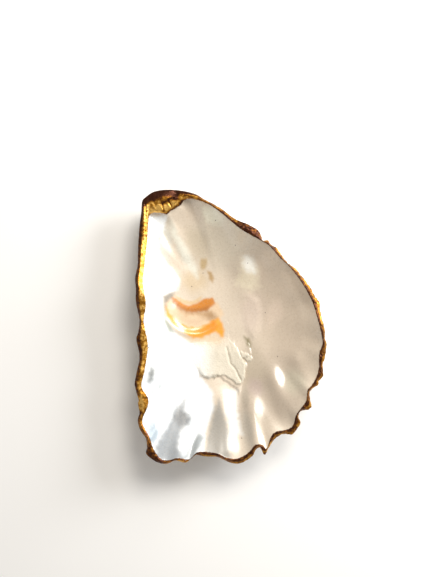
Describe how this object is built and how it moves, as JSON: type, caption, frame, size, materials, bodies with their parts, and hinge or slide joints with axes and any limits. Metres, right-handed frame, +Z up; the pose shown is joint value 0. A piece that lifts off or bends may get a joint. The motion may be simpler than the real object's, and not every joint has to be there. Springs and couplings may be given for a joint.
{
  "type": "oyster shell dish",
  "caption": "Cupped oyster shell with a pearly inside and a gold-painted rim, resting on its flat underside as a small open dish.",
  "frame": {"origin": "on the surface that the shell rests on, under the middle of its box", "axes": "+Y along the shell towards its hinge, +Z up out of the bowl, straight side at -X"},
  "size_m": [0.125, 0.1792, 0.0329],
  "materials": {
    "shell": "gloss"
  },
  "bodies": {
    "root": {"oyster_shell": "shell"}
  },
  "joints": []
}
